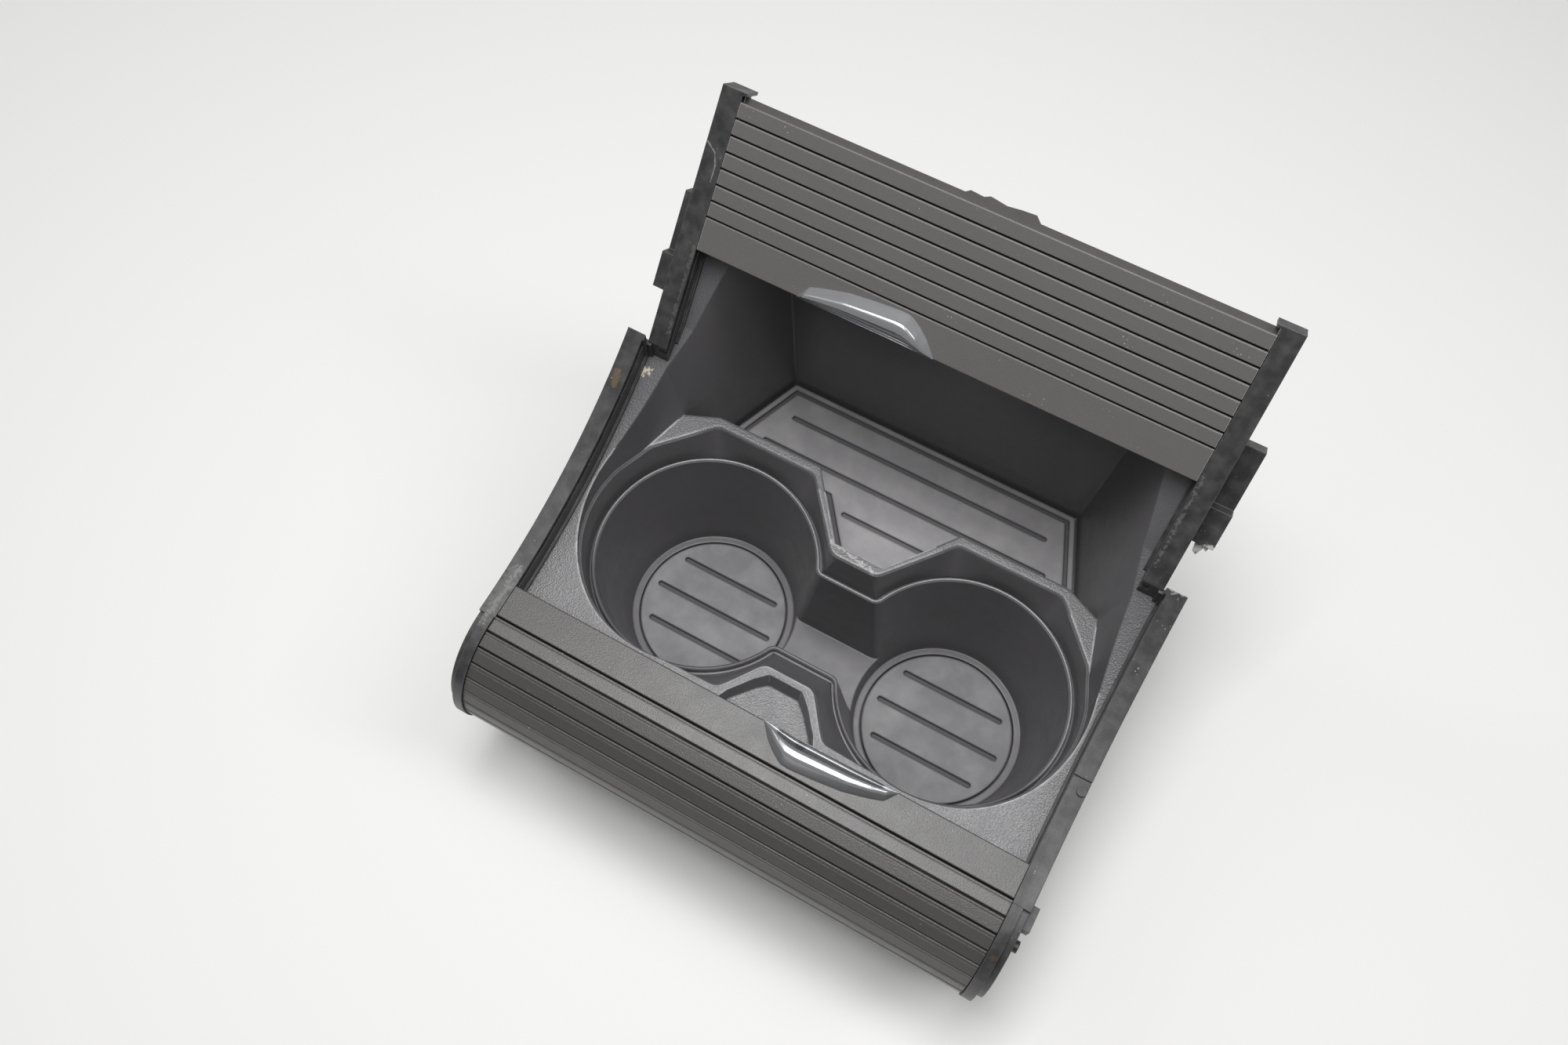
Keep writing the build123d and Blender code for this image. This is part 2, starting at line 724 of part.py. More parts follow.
front_lead_middle = front_lead_trail + front_lead_width / 2
front_lead = slat(track_plane(front_lead_middle), front_lead_width - slat_gap, front_half_width)
save(front_lead, "front_lead_slat")
for number in range(1, nose_slat_count + 1):
    place = front_lead_trail - (number - 0.5) * front_pitch
    save(slat(track_plane(place), front_pitch - slat_gap, front_half_width, True), f"front_slat_{number:02d}")

rear_lead_middle = rear_lead_edge + rear_lead_width / 2
rear_first_joint = rear_lead_edge + rear_lead_width
rear_top_edge = rear_first_joint + rear_slat_count * rear_pitch
rear_lead = slat(rear_plane(rear_lead_middle), rear_lead_width - slat_gap, rear_half_width)
save(rear_lead, "rear_lead_slat")
for number in range(1, rear_slat_count + 1):
    place = rear_first_joint + (number - 0.5) * rear_pitch
    save(slat(rear_plane(place), rear_pitch - rear_slat_gap, rear_half_width), f"rear_slat_{number:02d}")

# Backing films under the slats
with BuildPart() as front_film:
    with BuildSketch(Plane.YZ):
        with BuildLine():
            nose_ring_lines(slat_thickness + curve_gap, slat_thickness + curve_gap + film_thickness)
        make_face()
    extrude(amount=front_half_width - film_side_gap, both=True)
save(front_film, "front_backing_film")

with BuildPart() as rear_film:
    film_plane = Plane(
        origin=(0, *rear_point(rear_top_edge, slat_thickness)),
        x_dir=(1, 0, 0),
        z_dir=(0, *rear_up),
    )
    with BuildSketch(film_plane):
        with Locations((0, rear_hem)):
            Rectangle(
                2 * (rear_half_width - film_side_gap),
                rear_top_edge + rear_hem - rear_lead_edge - film_margin,
                align=(Align.CENTER, Align.MAX),
            )
        Polygon(*[(x, y + rear_hem) for x, y in torn_tab], align=None)
    extrude(amount=-film_thickness)
save(rear_film, "rear_backing_film")


# Handles
def handle(lead_middle, edge, turn):
    """Raised fin on a lead slat, at its free edge; the rear one is the front one turned round."""
    plane = Plane(
        origin=lead_middle.origin + lead_middle.x_dir * edge,
        x_dir=(turn, 0, 0),
        z_dir=lead_middle.y_dir,
    )
    finger_face = Plane(
        origin=plane.from_local_coords((0, -handle_edge, 0)),
        x_dir=plane.x_dir,
        z_dir=plane.y_dir * sin(radians(handle_slope)) + plane.z_dir * cos(radians(handle_slope)),
    )
    with BuildPart() as fin:
        with BuildSketch(plane):
            Polygon(*[(x, -y) for x, y in handle_outline], align=None)
        extrude(amount=handle_height, taper=handle_draft)
        split(bisect_by=finger_face, keep=Keep.BOTTOM)
    return fin


front_free_edge = (front_lead_width - slat_gap) / 2
rear_free_edge = (slat_gap - rear_lead_width) / 2
save(handle(track_plane(front_lead_middle), front_free_edge, 1), "front_handle")
save(handle(rear_plane(rear_lead_middle), rear_free_edge, -1), "rear_handle")
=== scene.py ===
"""Centre-console cup holder with two tambour shutters, dressed for a studio picture.

The solids of the part come in as a fixed frame. This script gives every solid its finish, shapes the two
handles and the rear slats, adds the slats and the film that the front shutter draws out when it closes and a
lip at the foot of each rear rail, and sets up the floor, the lights and the camera.
"""

import json
import logging
import math
from dataclasses import dataclass, field, replace
from enum import Enum

import bmesh
import bpy
import numpy as np
from mathutils import Matrix, Vector


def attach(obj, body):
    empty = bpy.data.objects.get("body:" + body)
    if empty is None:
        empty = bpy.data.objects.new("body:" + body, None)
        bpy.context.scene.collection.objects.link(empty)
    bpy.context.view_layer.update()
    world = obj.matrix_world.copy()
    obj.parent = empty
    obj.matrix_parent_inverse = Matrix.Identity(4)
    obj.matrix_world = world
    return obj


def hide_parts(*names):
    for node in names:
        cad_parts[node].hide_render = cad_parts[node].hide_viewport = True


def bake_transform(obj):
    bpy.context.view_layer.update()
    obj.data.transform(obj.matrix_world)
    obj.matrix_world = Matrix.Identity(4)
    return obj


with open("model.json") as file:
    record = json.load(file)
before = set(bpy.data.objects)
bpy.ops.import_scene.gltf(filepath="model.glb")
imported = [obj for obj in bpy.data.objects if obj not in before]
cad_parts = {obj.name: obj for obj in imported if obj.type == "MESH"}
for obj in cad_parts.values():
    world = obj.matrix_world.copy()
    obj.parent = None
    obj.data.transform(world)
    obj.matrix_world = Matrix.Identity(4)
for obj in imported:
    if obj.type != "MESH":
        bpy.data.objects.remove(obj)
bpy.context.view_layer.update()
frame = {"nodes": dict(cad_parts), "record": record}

MM = 0.001
log = logging.getLogger("cup_holder")

Place = tuple[float, float, float]
Tree = bpy.types.NodeTree
Socket = bpy.types.NodeSocket

# Kinds of node that the finishes use again and again.
MATH = "ShaderNodeMath"
VECTOR = "ShaderNodeVectorMath"
RANGE = "ShaderNodeMapRange"
MIX = "ShaderNodeMix"
# Sockets of a mix of two colours; they go by number, because other sockets of the node share their names.
MIX_SHARE, MIX_UNDER, MIX_OVER, MIX_RESULT = 0, 6, 7, 2

# The stretch of each noise that counts, from where a mark is at its least to where it is at its most.
RAGGED_NOISE = (0.25, 0.75)
PATCH_NOISE = (0.38, 0.72)
EDGE_NOISE = (0.3, 0.6)
DUST_NOISE = (0.5, 0.8)
SMUDGE_NOISE = (0.3, 0.7)
# Size in mm of the blotches of those noises that are alike on every finish, and octaves of finer noise.
EDGE_NOISE_MM = 5.0
DUST_PATCH_MM = 9.0
SMUDGE_MM = 6.0
PLAIN_DETAIL, PATCH_DETAIL, WORN_DETAIL = 3.0, 5.0, 6.0

# A line mark covers fully inside this share of its radius; most are scuffs, some are painted shade and
# highlights.
LINE_MARK_CORE = 0.5
# Least square of a line mark's length, so that a round fleck has a direction too.
LEAST_SQUARE = 1e-9
# Heights of the normal between a wall and a face that looks up.
FACING_UP = (0.4, 0.62)
# Cosines between the rounded and the flat normal where the painted highlight and shade along an edge begin
# and where they are full.
EDGE_TURN = (0.998, 0.88)
# Painted highlights and shade along edges fade in over this length behind the nearest place where they show,
# in mm.
EDGE_FADE_MM = 14.0
BEVEL_SAMPLES = 8
# The painted shade in a groove is at its darkest this far under the surface, in mm, and this much of its
# colour shows.
GROOVE_FADE_MM = 0.5
GROOVE_COVER = 0.9
# Dust specks lie this many speck sizes apart and cover this much.
SPECK_SPACING = 4
DUST_COVER = 0.6
# Pebbles of the grain run into each other this much, and the finer grain on them is this much smaller.
PEBBLE_SMOOTHNESS = 0.6
FINE_GRAIN = 0.5

# Points along a rounded edge of a slat.
CORNER_STEPS = 5


class Slot(Enum):
    """Material slots of the part's record."""

    TRAY = "tray_plastic"
    CUPS = "cup_plastic"
    MATS = "mat_rubber"
    RAILS = "rail_plastic"
    SLATS = "slat_soft_paint"
    FILM = "backing_film"
    TRIM = "satin_trim"


def linear(code: str) -> tuple[float, float, float, float]:
    """Turn an sRGB hex colour into a linear colour.

    Args:
        code: Colour such as "#a0b0c0".

    Returns:
        Linear red, green, blue and an alpha of 1.
    """
    parts = [int(code[i : i + 2], 16) / 255 for i in (1, 3, 5)]
    red, green, blue = (p / 12.92 if p <= 0.04045 else ((p + 0.055) / 1.055) ** 2.4 for p in parts)
    return (red, green, blue, 1.0)


def add(
    tree: Tree,
    kind: str,
    links: dict[str | int, Socket] | None = None,
    values: dict[str | int, object] | None = None,
    **settings: object,
) -> bpy.types.Node:
    """Add a node with its settings and links.

    Args:
        tree: Node tree that takes the node.
        kind: Blender's node type.
        links: Input socket, by name or number, to the output socket that feeds it.
        values: Input socket, by name or number, to its fixed value.
        settings: Properties of the node itself.

    Returns:
        The new node.
    """
    node = tree.nodes.new(kind)
    for key, value in settings.items():
        setattr(node, key, value)
    for key, value in (values or {}).items():
        node.inputs[key].default_value = value
    for key, source in (links or {}).items():
        tree.links.new(source, node.inputs[key])
    return node


def covered(tree: Tree, share: Socket, under: Socket, code: str) -> Socket:
    """Lay a hex colour over a colour by a share."""
    sockets = {MIX_SHARE: share, MIX_UNDER: under}
    return add(tree, MIX, sockets, {MIX_OVER: linear(code)}, data_type="RGBA").outputs[MIX_RESULT]


@dataclass(frozen=True)
class ScuffAndShading:
    """A stain, chip or scratch along a line on the surface, and in places painted shade and highlights laid
    the same way.

    Args:
        start: One end of its line in the part's frame, in mm.
        end: The other end; the same place makes a round fleck.
        radius: Its reach from the line in mm.
        colour: sRGB hex colour.
        strength: How fully it covers, from 0 to 1.
        ragged: How far noise shifts its edge, as a share of the radius.
    """

    start: Place
    end: Place
    radius: float
    colour: str
    strength: float = 0.8
    ragged: float = 0.8

    def lay(self, tree: Tree, place: Socket, noise: Socket, colour: Socket) -> Socket:
        """Lay the mark over a colour; its cover falls off with the distance from the line, shifted by noise.

        Args:
            tree: Node tree that takes the nodes.
            place: Coordinates in mm.
            noise: Fine noise from 0 to 1.
            colour: Colour under the mark.

        Returns:
            The colour with the mark.
        """
        line = Vector(self.end) - Vector(self.start)
        way = line / max(line.length_squared, LEAST_SQUARE)
        offset = add(tree, VECTOR, {0: place}, {1: self.start}, operation="SUBTRACT").outputs[0]
        along = add(tree, VECTOR, {0: offset}, {1: way}, operation="DOT_PRODUCT").outputs["Value"]
        share = add(tree, MATH, {0: along}, {1: 1.0}, operation="MULTIPLY", use_clamp=True).outputs[0]
        nearest = add(tree, VECTOR, {"Scale": share}, {0: line}, operation="SCALE").outputs[0]
        apart = add(tree, VECTOR, {0: offset, 1: nearest}, operation="DISTANCE").outputs["Value"]
        low, high = RAGGED_NOISE
        swing = self.radius * self.ragged
        ends = {"From Min": low, "From Max": high, "To Min": -swing, "To Max": swing}
        shift = add(tree, RANGE, {"Value": noise}, ends).outputs[0]
        reach = add(tree, MATH, {0: apart, 1: shift}, operation="ADD").outputs[0]
        ends = {"From Min": self.radius, "From Max": self.radius * LINE_MARK_CORE, "To Max": self.strength}
        cover = add(tree, RANGE, {"Value": reach}, ends).outputs[0]
        return covered(tree, cover, colour, self.colour)


@dataclass(frozen=True)
class Finish:
    """A procedural finish; the fields are shared by every material of the part.

    Args:
        name: Material and how its surface was made.
        colour: sRGB hex colour of the clean surface.
        tint: sRGB hex colour of its paler patches.
        tint_mm: Size of those patches.
        tint_share: How strongly they show.
        roughness: Mean roughness.
        roughness_swing: How far smudges change it.
        grain_mm: Size of the moulded or sprayed grain.
        grain_depth_mm: Height of that grain.
        grain_on_flat: Whether the grain is only on faces that look up.
        wall_light_colour: sRGB hex colour of the walls where it differs from the faces that look up: painted
            lighter, as painted light.
        edge_mm: Radius that edges seem rounded to; 0 leaves them as they are.
        edge_shading_colour: sRGB hex colour painted along edges: a painted highlight where pale, painted
            shade where dark.
        edge_shading_share: How strongly that edge colour shows.
        edge_breakup: How far noise breaks it up, from 0 to 1.
        edge_y_mm: Nearest and farthest place where it shows.
        edge_z_mm: Lowest and highest place where it shows.
        hollow_mm: Height under which the surface lies in a groove.
        hollow_shade_colour: sRGB hex colour of the painted shade in the grooves.
        dust: Share of the surface with dust specks.
        dust_mm: Size of the specks.
        dust_colour: sRGB hex colour of dust.
        metallic: Metallic value.
        specular: Specular level.
        streak: Stretch of the smudges along X, Y and Z.
        scuffs_and_shading: Stains, chips and scratches, and some painted shade and highlights along lines.
        scuff_and_shading_mm: Size of the noise that makes them ragged.
    """

    name: str
    colour: str
    tint: str
    tint_mm: float = 18.0
    tint_share: float = 0.35
    roughness: float = 0.5
    roughness_swing: float = 0.12
    grain_mm: float = 0.5
    grain_depth_mm: float = 0.03
    grain_on_flat: bool = False
    wall_light_colour: str = ""
    edge_mm: float = 0.35
    edge_shading_colour: str = "#8c8c8c"
    edge_shading_share: float = 0.0
    edge_breakup: float = 0.5
    edge_y_mm: tuple[float, float] = (-200.0, 200.0)
    edge_z_mm: tuple[float, float] = (-1.0, 200.0)
    hollow_mm: float = 0.0
    hollow_shade_colour: str = "#2c2b2d"
    dust: float = 0.1
    dust_mm: float = 0.5
    dust_colour: str = "#a9a7a3"
    metallic: float = 0.0
    specular: float = 0.5
    streak: Place = (1.0, 1.0, 1.0)
    scuffs_and_shading: tuple[ScuffAndShading, ...] = ()
    scuff_and_shading_mm: float = 1.2

    def make(self) -> bpy.types.Material:
        """Build the material.

        Returns:
            The finished material.
        """
        material = bpy.data.materials.new(self.name)
        material.use_nodes = True
        tree = material.node_tree
        shader = tree.nodes["Principled BSDF"]
        shader.inputs["Metallic"].default_value = self.metallic
        shader.inputs["Specular IOR Level"].default_value = self.specular
        place = self._millimetres(tree)
        flat = self._facing_up(tree)
        if self.edge_mm:
            radius = {"Radius": self.edge_mm * MM}
            soft = add(tree, "ShaderNodeBevel", values=radius, samples=BEVEL_SAMPLES).outputs[0]
        else:
            soft = add(tree, "ShaderNodeNewGeometry").outputs["Normal"]
        tree.links.new(self._colour(tree, place, flat, soft), shader.inputs["Base Color"])
        tree.links.new(self._roughness(tree, place), shader.inputs["Roughness"])
        tree.links.new(self._relief(tree, place, flat, soft), shader.inputs["Normal"])
        return material

    def _millimetres(self, tree: Tree) -> Socket:
        """Object coordinates in mm."""
        coords = add(tree, "ShaderNodeTexCoord").outputs["Object"]
        return add(tree, VECTOR, {0: coords}, {1: (1 / MM,) * 3}, operation="MULTIPLY").outputs[0]

    def _facing_up(self, tree: Tree) -> Socket:
        """Find the faces that look up.

        Args:
            tree: Node tree that takes the nodes.

        Returns:
            Mask that is 1 on faces that look up and 0 on walls.
        """
        normal = add(tree, "ShaderNodeNewGeometry").outputs["Normal"]
        height = add(tree, "ShaderNodeSeparateXYZ", {0: normal}).outputs["Z"]
        low, high = FACING_UP
        return add(tree, RANGE, {"Value": height}, {"From Min": low, "From Max": high}).outputs[0]

    def _noise(self, tree: Tree, place: Socket, size_mm: float, detail: float = PLAIN_DETAIL) -> Socket:
        """Noise whose blotches are about size_mm across.

        Args:
            tree: Node tree that takes the nodes.
            place: Coordinates in mm.
            size_mm: Size of a blotch.
            detail: Octaves of finer noise.

        Returns:
            A value from 0 to 1.
        """
        values = {"Scale": 1 / size_mm, "Detail": detail}
        return add(tree, "ShaderNodeTexNoise", {"Vector": place}, values).outputs["Fac"]

    def _colour(self, tree: Tree, place: Socket, flat: Socket, soft: Socket) -> Socket:
        """Clean colour with paler patches, painted light and shade on walls, in grooves and along edges, dust
        specks and line marks.

        Args:
            tree: Node tree that takes the nodes.
            place: Coordinates in mm.
            flat: Mask of faces that look up.
            soft: Normal with rounded edges.

        Returns:
            The colour.
        """
        low, high = PATCH_NOISE
        noise = self._noise(tree, place, self.tint_mm, PATCH_DETAIL)
        values = {"From Min": low, "From Max": high, "To Max": self.tint_share}
        patches = add(tree, RANGE, {"Value": noise}, values).outputs[0]
        ends = {MIX_UNDER: linear(self.colour), MIX_OVER: linear(self.tint)}
        colour = add(tree, MIX, {MIX_SHARE: patches}, ends, data_type="RGBA").outputs[MIX_RESULT]
        # Walls painted lighter than the faces that look up: painted light.
        if self.wall_light_colour:
            wall = add(tree, MATH, {1: flat}, {0: 1.0}, operation="SUBTRACT").outputs[0]
            colour = covered(tree, wall, colour, self.wall_light_colour)
        # Painted shade in the grooves, darker with depth.
        if self.hollow_mm:
            colour = covered(tree, self._groove_shade(tree, place), colour, self.hollow_shade_colour)
        # Painted highlights along edges, and painted shade along the rubber's grooves, broken up by noise; on
        # the rails partly worn edges too.
        if self.edge_shading_share:
            colour = covered(tree, self._edge_shading_and_wear(tree, place, soft), colour, self.edge_shading_colour)
        colour = covered(tree, self._dust(tree, place, flat), colour, self.dust_colour)
        if self.scuffs_and_shading:
            noise = self._noise(tree, place, self.scuff_and_shading_mm, PATCH_DETAIL)
            for line_mark in self.scuffs_and_shading:
                colour = line_mark.lay(tree, place, noise, colour)
        return colour

    def _groove_shade(self, tree: Tree, place: Socket) -> Socket:
        """Find the grooves, which take painted shade.

        Args:
            tree: Node tree that takes the nodes.
            place: Coordinates in mm.

        Returns:
            Mask that rises with the depth under the surface's own height.
        """
        height = add(tree, "ShaderNodeSeparateXYZ", {0: place}).outputs["Z"]
        bottom = self.hollow_mm - GROOVE_FADE_MM
        ends = {"From Min": self.hollow_mm, "From Max": bottom, "To Max": GROOVE_COVER}
        return add(tree, RANGE, {"Value": height}, ends).outputs[0]

    def _edge_shading_and_wear(self, tree: Tree, place: Socket, soft: Socket) -> Socket:
        """Find the edges that get a painted highlight, and on the rubber painted shade.

        Args:
            tree: Node tree that takes the nodes.
            place: Coordinates in mm.
            soft: Normal with rounded edges.

        Returns:
            Mask of the places where the rounded normal leaves the face's own, broken up by noise, within the
            bands in Y and Z and fading out towards the front.
        """
        face = add(tree, "ShaderNodeNewGeometry").outputs["Normal"]
        alike = add(tree, VECTOR, {0: soft, 1: face}, operation="DOT_PRODUCT").outputs["Value"]
        begun, full = EDGE_TURN
        turned = add(tree, RANGE, {"Value": alike}, {"From Min": begun, "From Max": full}).outputs[0]
        low, high = EDGE_NOISE
        least = (1 - self.edge_breakup) * self.edge_shading_share
        breakup = {"From Min": low, "From Max": high, "To Min": least, "To Max": self.edge_shading_share}
        noise = self._noise(tree, place, EDGE_NOISE_MM, WORN_DETAIL)
        broken = add(tree, RANGE, {"Value": noise}, breakup).outputs[0]
        shown = add(tree, MATH, {0: turned, 1: broken}, operation="MULTIPLY").outputs[0]
        parts = add(tree, "ShaderNodeSeparateXYZ", {0: place})
        for axis, (low, high) in (("Y", self.edge_y_mm), ("Z", self.edge_z_mm)):
            band = {1: (low + high) / 2, 2: (high - low) / 2}
            inside = add(tree, MATH, {0: parts.outputs[axis]}, band, operation="COMPARE").outputs[0]
            shown = add(tree, MATH, {0: shown, 1: inside}, operation="MULTIPLY").outputs[0]
        front = self.edge_y_mm[0]
        fade = {"From Min": front, "From Max": front + EDGE_FADE_MM}
        fading = add(tree, RANGE, {"Value": parts.outputs["Y"]}, fade).outputs[0]
        return add(tree, MATH, {0: shown, 1: fading}, operation="MULTIPLY").outputs[0]

    def _dust(self, tree: Tree, place: Socket, flat: Socket) -> Socket:
        """Scatter dust specks: small cells, larger where the noise is high.

        Args:
            tree: Node tree that takes the nodes.
            place: Coordinates in mm.
            flat: Mask of faces that look up.

        Returns:
            Mask of the specks, on faces that look up.
        """
        spacing = {"Scale": 1 / (self.dust_mm * SPECK_SPACING)}
        cells = add(tree, "ShaderNodeTexVoronoi", {"Vector": place}, spacing).outputs["Distance"]
        low, high = DUST_NOISE
        noise = self._noise(tree, place, DUST_PATCH_MM)
        ends = {"From Min": low, "From Max": high, "To Min": 0.0, "To Max": self.dust}
        size = add(tree, RANGE, {"Value": noise}, ends).outputs[0]
        speck = add(tree, MATH, {0: cells, 1: size}, operation="LESS_THAN").outputs[0]
        lying = add(tree, MATH, {0: speck, 1: flat}, operation="MULTIPLY").outputs[0]
        return add(tree, MATH, {0: lying}, {1: DUST_COVER}, operation="MULTIPLY").outputs[0]

    def _roughness(self, tree: Tree, place: Socket) -> Socket:
        """Roughness that smudges and handling change a little, drawn out along the streak.

        Args:
            tree: Node tree that takes the nodes.
            place: Coordinates in mm.

        Returns:
            The roughness.
        """
        drawn = add(tree, VECTOR, {0: place}, {1: self.streak}, operation="MULTIPLY").outputs[0]
        noise = self._noise(tree, drawn, SMUDGE_MM, WORN_DETAIL)
        low, high = SMUDGE_NOISE
        least, most = self.roughness - self.roughness_swing, self.roughness + self.roughness_swing
        ends = {"From Min": low, "From Max": high, "To Min": least, "To Max": most}
        return add(tree, RANGE, {"Value": noise}, ends).outputs[0]

    def _relief(self, tree: Tree, place: Socket, flat: Socket, soft: Socket) -> Socket:
        """Pebbled grain on top of the rounded edges, as a normal.

        Args:
            tree: Node tree that takes the nodes.
            place: Coordinates in mm.
            flat: Mask of faces that look up.
            soft: Normal with rounded edges.

        Returns:
            The shading normal.
        """
        pebbles = add(
            tree,
            "ShaderNodeTexVoronoi",
            {"Vector": place},
            {"Scale": 1 / self.grain_mm, "Smoothness": PEBBLE_SMOOTHNESS},
            feature="SMOOTH_F1",
        ).outputs["Distance"]
        fine = self._noise(tree, place, self.grain_mm * FINE_GRAIN)
        height = add(tree, MATH, {0: pebbles, 1: fine}, operation="ADD").outputs[0]
        depth = {"Distance": self.grain_depth_mm * MM, "Strength": 1.0}
        bump = add(tree, "ShaderNodeBump", {"Height": height, "Normal": soft}, depth)
        if self.grain_on_flat:
            tree.links.new(flat, bump.inputs["Strength"])
        return bump.outputs[0]


# ABS moulding with spark-eroded top faces: a dark satin pebble that glitters under a lamp, with painted
# highlights along its edges and walls painted lighter, as painted light.
GRAINED_MOULDING = Finish(
    name="abs_moulded_spark_eroded",
    colour="#636264",
    tint="#706f71",
    wall_light_colour="#6a686a",
    roughness=0.34,
    roughness_swing=0.04,
    grain_mm=0.62,  # drawn about twice as coarse as the real grain, to show in the render
    grain_depth_mm=0.085,
    grain_on_flat=True,
    edge_mm=1.3,
    edge_shading_colour="#d2d3d5",
    edge_shading_share=0.85,
    edge_y_mm=(-74.0, 38.0),
    edge_z_mm=(67.0, 84.0),
    dust=0.22,
    dust_mm=0.3,
    dust_colour="#c4c3c0",
    specular=0.78,
    scuffs_and_shading=(
        ScuffAndShading((-91.8, 37.3, 97.1), (-90.6, 37.7, 97.4), 1.8, "#d8d2b8", 0.95, 1.0),
        # Painted highlight along the rounded edge of the notch in the divider.
        ScuffAndShading((-11.0, 22.7, 70.5), (8.0, 19.2, 70.5), 0.7, "#cfcfcb", 0.4, 1.6),
    ),
)

# ABS moulding from a polished tool: smooth and dark with a soft sheen, and painted highlights along its rims,
# left off their front sides.
SATIN_MOULDING = Finish(
    name="abs_moulded_satin",
    colour="#5e5c5e",
    tint="#676568",
    roughness=0.36,
    roughness_swing=0.05,
    grain_mm=0.4,
    grain_depth_mm=0.006,
    edge_mm=1.0,
    edge_shading_colour="#c8c9cb",
    edge_shading_share=0.85,
    edge_breakup=0.3,
    edge_y_mm=(-21.0, 90.0),
    edge_z_mm=(50.0, 70.0),
    dust=0.12,
    dust_mm=0.3,
    dust_colour="#b5b4b1",
)

# Moulded rubber: matt grey with a bloom of dust, and painted shade in its grooves and along their edges.
RUBBER_MAT = Finish(
    name="rubber_moulded_matt",
    colour="#828183",
    tint="#9c9b9c",
    tint_mm=10.0,
    tint_share=0.75,
    roughness=0.75,
    roughness_swing=0.08,
    grain_mm=0.45,
    grain_depth_mm=0.02,
    edge_mm=1.3,
    edge_shading_colour="#4a494b",
    edge_shading_share=0.75,
    edge_breakup=0.2,
    hollow_mm=4.9,
    hollow_shade_colour="#545355",
    dust=0.14,
    dust_mm=0.35,
    dust_colour="#d2d0cc",
    specular=0.35,
)

# The same rubber in the bin, with a little more dust: painted paler, a blotchy grey that stands in for light
# on the bin floor, with softer painted shade along its edges and in its moat.
DUSTY_LIT_MAT = replace(
    RUBBER_MAT,
    name="rubber_moulded_dusty",
    colour="#9f9d9f",
    tint="#b4b2b3",
    dust=0.16,
    edge_shading_share=0.4,
    hollow_mm=39.4,
    hollow_shade_colour="#636264",
)

# ABS moulding of the rails: a blotched dark grey, scuffed along its edges where it was pulled out; the pale
# edge colour is partly worn edges and partly a painted highlight, and the walls are painted lighter, as
# painted light.
SCUFFED_RAIL = Finish(
    name="abs_moulded_scuffed",
    colour="#353536",
    tint="#5a595a",
    tint_mm=4.0,
    tint_share=0.6,
    wall_light_colour="#484747",
    roughness=0.42,
    grain_mm=0.7,
    grain_depth_mm=0.015,
    edge_mm=0.4,
    edge_shading_colour="#7d7e7f",
    edge_shading_share=0.5,
    dust=0.24,
    dust_mm=0.35,
    streak=(1.0, 0.25, 0.25),
    scuffs_and_shading=(
        ScuffAndShading((-95.5, -42.0, 80.3), (-96.0, -60.0, 79.5), 3.5, "#6c6c6b", 0.5, 0.6),
        ScuffAndShading((-95.1, -40.2, 80.4), (-95.8, -60.6, 79.5), 1.0, "#8f8e8b", 0.4, 2.0),
        ScuffAndShading((-98.6, -63.7, 79.0), (-98.4, -62.7, 79.0), 0.9, "#8a6a3a", 0.7),
        ScuffAndShading((-96.8, 29.7, 104.2), (-96.2, 25.8, 101.9), 1.5, "#7a6646", 0.5, 0.5),
        ScuffAndShading((95.1, -74.4, 74.9), (95.6, -74.0, 75.0), 1.2, "#5c4c3a", 0.55, 0.6),
        ScuffAndShading((93.5, 42.2, 112.3), (98.0, 42.2, 111.5), 1.1, "#a9aaa8", 0.6, 1.4),
        ScuffAndShading((-91.6, 86.9, 161.5), (-88.3, 85.3, 159.7), 0.3, "#8c8a84", 0.8, 0.5),
        ScuffAndShading((-88.3, 85.3, 159.7), (-87.0, 82.9, 156.8), 0.3, "#8c8a84", 0.8, 0.5),
        ScuffAndShading((-87.0, 82.9, 156.8), (-87.0, 79.6, 152.8), 0.25, "#8c8a84", 0.7, 0.5),
        ScuffAndShading((94.2, 58.4, 111.0), (98.4, 59.6, 113.2), 2.4, "#cfd0cc", 0.9, 0.6),
        ScuffAndShading((86.2, 66.9, 137.7), (86.2, 47.0, 114.0), 0.4, "#7c7c7a", 0.4, 2.5),
        ScuffAndShading((-86.0, 66.0, 136.6), (-86.0, 46.0, 112.8), 0.4, "#70706a", 0.35, 2.5),
    ),
)

# Soft-touch paint sprayed on the slats: warm dark grey with a fine even texture, and painted highlights along
# the slats' edges.
SOFT_TOUCH_PAINT = Finish(
    name="soft_touch_paint_sprayed",
    colour="#4c4a49",
    tint="#545251",
    tint_mm=22.0,
    tint_share=0.2,
    roughness=0.35,
    roughness_swing=0.025,
    grain_mm=0.45,
    grain_depth_mm=0.035,
    edge_mm=0.25,
    edge_shading_colour="#b4b2ae",
    edge_shading_share=0.3,
    dust=0.2,
    dust_mm=0.3,
    dust_colour="#d2d0ca",
    specular=0.6,
)

# The same paint on the rear shutter: painted paler, as painted light on its sloping slats, and a little
# duller, with stronger painted highlights along its joints.
REAR_LIT_PAINT = replace(
    SOFT_TOUCH_PAINT,
    name="soft_touch_paint_faded",
    colour="#676564",
    tint="#6f6d6c",
    roughness=0.42,
    edge_mm=0.35,
    edge_shading_colour="#d4d2ce",
    edge_shading_share=0.75,
    specular=0.5,
)

# Thin polyester film that carries the slats: a warm near-black with a dull sheen, seen in the joints.
BACKING_FILM = Finish(
    name="polyester_film_laminated",
    colour="#363433",
    tint="#444241",
    tint_mm=8.0,
    roughness=0.6,
    grain_mm=0.5,
    grain_depth_mm=0.02,
    edge_mm=0.1,
    dust=0.1,
)

